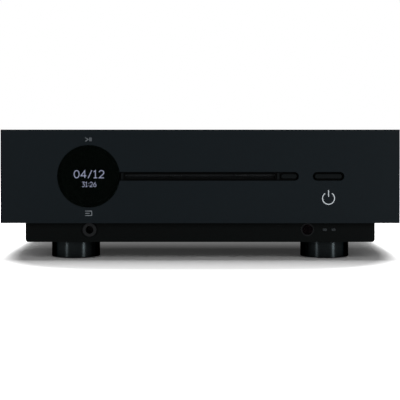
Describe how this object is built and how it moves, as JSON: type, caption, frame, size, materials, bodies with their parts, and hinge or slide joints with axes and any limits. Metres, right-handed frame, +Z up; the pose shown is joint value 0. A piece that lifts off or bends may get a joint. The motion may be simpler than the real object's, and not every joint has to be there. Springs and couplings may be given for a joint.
{
  "type": "slot-loading disc amplifier",
  "caption": "Black slot-loading disc amplifier with a thick overhanging front panel, round smoked display window, side heatsinks and round feet.",
  "frame": {"origin": "middle of the footprint, on the surface that the feet stand on", "axes": "+Z up, the front panel faces -Y, +X to the right seen from the front"},
  "size_m": [0.32, 0.318, 0.105],
  "materials": {
    "panel_anodised": "fine bead-blasted, black anodised",
    "chassis_paint": "fine-textured black powder coat",
    "heatsink_anodised": "extruded, black anodised",
    "window_glass": "smoked, polished",
    "display_glass": "dark polished panel on a black board",
    "black_moulding": "moulded, fine texture",
    "button_plastic": "moulded, satin",
    "dust_felt": "short black pile",
    "foot_plastic": "turned, satin gloss",
    "pad_rubber": "matt",
    "screw_steel": "black zinc",
    "circuit_board": "solder mask",
    "jack_nickel": "black nickel",
    "ir_acrylic": "smoked acrylic",
    "indicator_acrylic": "clear, frosted inside",
    "contact_brass": "gilt, turned",
    "post_red": "moulded",
    "post_black": "moulded",
    "socket_plastic": "moulded",
    "socket_steel": "tin plated",
    "deck_steel": "zinc plated sheet",
    "motor_steel": "drawn can",
    "rod_steel": "ground",
    "roller_rubber": "moulded",
    "pale_plastic": "moulded",
    "dark_plastic": "moulded",
    "winding": "varnished winding under film",
    "can_sleeve": "shrunk sleeve"
  },
  "bodies": {
    "case": {"front_panel": "panel_anodised", "base_tray": "chassis_paint", "top_cover": "chassis_paint", "rear_panel": "chassis_paint", "left_heatsink": "heatsink_anodised", "right_heatsink": "heatsink_anodised", "foot_front_left": "foot_plastic", "foot_front_right": "foot_plastic", "foot_rear_left": "foot_plastic", "foot_rear_right": "foot_plastic", "foot_pads": "pad_rubber", "screws": "screw_steel", "display_window": "window_glass", "display_module": "display_glass", "slot_bezel": "black_moulding", "mouth_felts": "dust_felt", "key_board": "circuit_board", "front_board": "circuit_board", "headphone_jack": "jack_nickel", "ir_window": "ir_acrylic", "status_lights": "indicator_acrylic", "power_inlet": "socket_plastic", "post_studs": "contact_brass", "post_bases": "post_black", "rca_bodies": "socket_plastic", "rca_shells": "contact_brass", "optical_socket": "socket_plastic", "usb_socket": "socket_steel", "transport_deck": "deck_steel", "transport_legs": "deck_steel", "transport_top": "deck_steel", "loading_motor": "motor_steel", "loading_belt": "roller_rubber", "transformer": "winding", "transformer_clamp": "deck_steel", "main_board": "circuit_board", "capacitors": "can_sleeve", "output_devices": "socket_plastic"},
    "eject_button": {"eject_button": "button_plastic"},
    "standby_button": {"standby_button": "button_plastic"},
    "power_rocker": {"power_rocker": "button_plastic"},
    "optical_flap": {"optical_flap": "dark_plastic"},
    "loading_roller": {"loading_roller": "roller_rubber"},
    "motor_pulley": {"motor_pulley": "pale_plastic"},
    "traverse": {"traverse_frame": "deck_steel", "spindle_motor": "motor_steel", "guide_rods": "rod_steel", "sled_motor": "motor_steel"},
    "turntable": {"turntable": "dark_plastic"},
    "pickup_sled": {"pickup_sled": "dark_plastic"},
    "lead_screw": {"lead_screw": "contact_brass"},
    "clamp_puck": {"clamp_puck": "dark_plastic"},
    "post_bush_1": {"post_bush_1": "contact_brass"},
    "post_cap_1": {"post_cap_1": "post_red"},
    "post_bush_2": {"post_bush_2": "contact_brass"},
    "post_cap_2": {"post_cap_2": "post_black"},
    "post_bush_3": {"post_bush_3": "contact_brass"},
    "post_cap_3": {"post_cap_3": "post_red"},
    "post_bush_4": {"post_bush_4": "contact_brass"},
    "post_cap_4": {"post_cap_4": "post_black"}
  },
  "joints": [
    {"name": "eject_press", "type": "slide", "parent": "case", "child": "eject_button", "axis": [0, 1, 0], "range_m": [0, 0.0008], "stiffness_N_per_m": 600, "springref_m": -0.002},
    {"name": "standby_press", "type": "slide", "parent": "case", "child": "standby_button", "axis": [0, 1, 0], "range_m": [0, 0.0008], "stiffness_N_per_m": 600, "springref_m": -0.002},
    {"name": "rocker_tip", "type": "hinge", "parent": "case", "child": "power_rocker", "pos_m": [0.105, 0.136, 0.0785], "axis": [1, 0, 0], "range_deg": [0, 20]},
    {"name": "flap_swing", "type": "hinge", "parent": "case", "child": "optical_flap", "pos_m": [-0.042, 0.1401, 0.0818], "axis": [-1, 0, 0], "range_deg": [0, 80], "stiffness_Nm_per_rad": 0.0006, "springref_deg": -22.92},
    {"name": "roller_spin", "type": "hinge", "parent": "case", "child": "loading_roller", "pos_m": [0, -0.116, 0.0619], "axis": [1, 0, 0], "continuous": true},
    {"name": "motor_pulley_spin", "type": "hinge", "parent": "case", "child": "motor_pulley", "pos_m": [0.074, -0.116, 0.0379], "axis": [1, 0, 0], "continuous": true},
    {"name": "traverse_lift", "type": "slide", "parent": "case", "child": "traverse", "axis": [0, 0, 1], "range_m": [0, 0.005]},
    {"name": "turntable_spin", "type": "hinge", "parent": "traverse", "child": "turntable", "pos_m": [0, -0.048, 0.06], "axis": [0, 0, 1], "continuous": true},
    {"name": "lead_screw_turn", "type": "hinge", "parent": "traverse", "child": "lead_screw", "pos_m": [0.026, 0, 0.0578], "axis": [0, 1, 0], "range_deg": [0, 4321]},
    {"name": "sled_slide", "type": "slide", "parent": "traverse", "child": "pickup_sled", "axis": [0, 1, 0], "range_m": [0, 0.036]},
    {"name": "puck_spin", "type": "hinge", "parent": "case", "child": "clamp_puck", "pos_m": [0, -0.048, 0.075], "axis": [0, 0, 1], "continuous": true},
    {"name": "post_1_back_off", "type": "slide", "parent": "case", "child": "post_bush_1", "axis": [0, 1, 0], "range_m": [0, 0.005]},
    {"name": "post_1_turn", "type": "hinge", "parent": "post_bush_1", "child": "post_cap_1", "pos_m": [-0.112, 0.149, 0.0405], "axis": [0, 1, 0], "range_deg": [0, 1801]},
    {"name": "post_2_back_off", "type": "slide", "parent": "case", "child": "post_bush_2", "axis": [0, 1, 0], "range_m": [0, 0.005]},
    {"name": "post_2_turn", "type": "hinge", "parent": "post_bush_2", "child": "post_cap_2", "pos_m": [-0.093, 0.149, 0.0405], "axis": [0, 1, 0], "range_deg": [0, 1801]},
    {"name": "post_3_back_off", "type": "slide", "parent": "case", "child": "post_bush_3", "axis": [0, 1, 0], "range_m": [0, 0.005]},
    {"name": "post_3_turn", "type": "hinge", "parent": "post_bush_3", "child": "post_cap_3", "pos_m": [-0.058, 0.149, 0.0405], "axis": [0, 1, 0], "range_deg": [0, 1801]},
    {"name": "post_4_back_off", "type": "slide", "parent": "case", "child": "post_bush_4", "axis": [0, 1, 0], "range_m": [0, 0.005]},
    {"name": "post_4_turn", "type": "hinge", "parent": "post_bush_4", "child": "post_cap_4", "pos_m": [-0.039, 0.149, 0.0405], "axis": [0, 1, 0], "range_deg": [0, 1801]}
  ],
  "couplings": [
    {"joint": "motor_pulley_spin", "follows": "roller_spin", "ratio": 1},
    {"joint": "puck_spin", "follows": "turntable_spin", "ratio": 1},
    {"joint": "lead_screw_turn", "follows": "sled_slide", "rad_per_m": 2094.4},
    {"joint": "post_1_turn", "follows": "post_1_back_off", "rad_per_m": 6283.2},
    {"joint": "post_2_turn", "follows": "post_2_back_off", "rad_per_m": 6283.2},
    {"joint": "post_3_turn", "follows": "post_3_back_off", "rad_per_m": 6283.2},
    {"joint": "post_4_turn", "follows": "post_4_back_off", "rad_per_m": 6283.2}
  ]
}
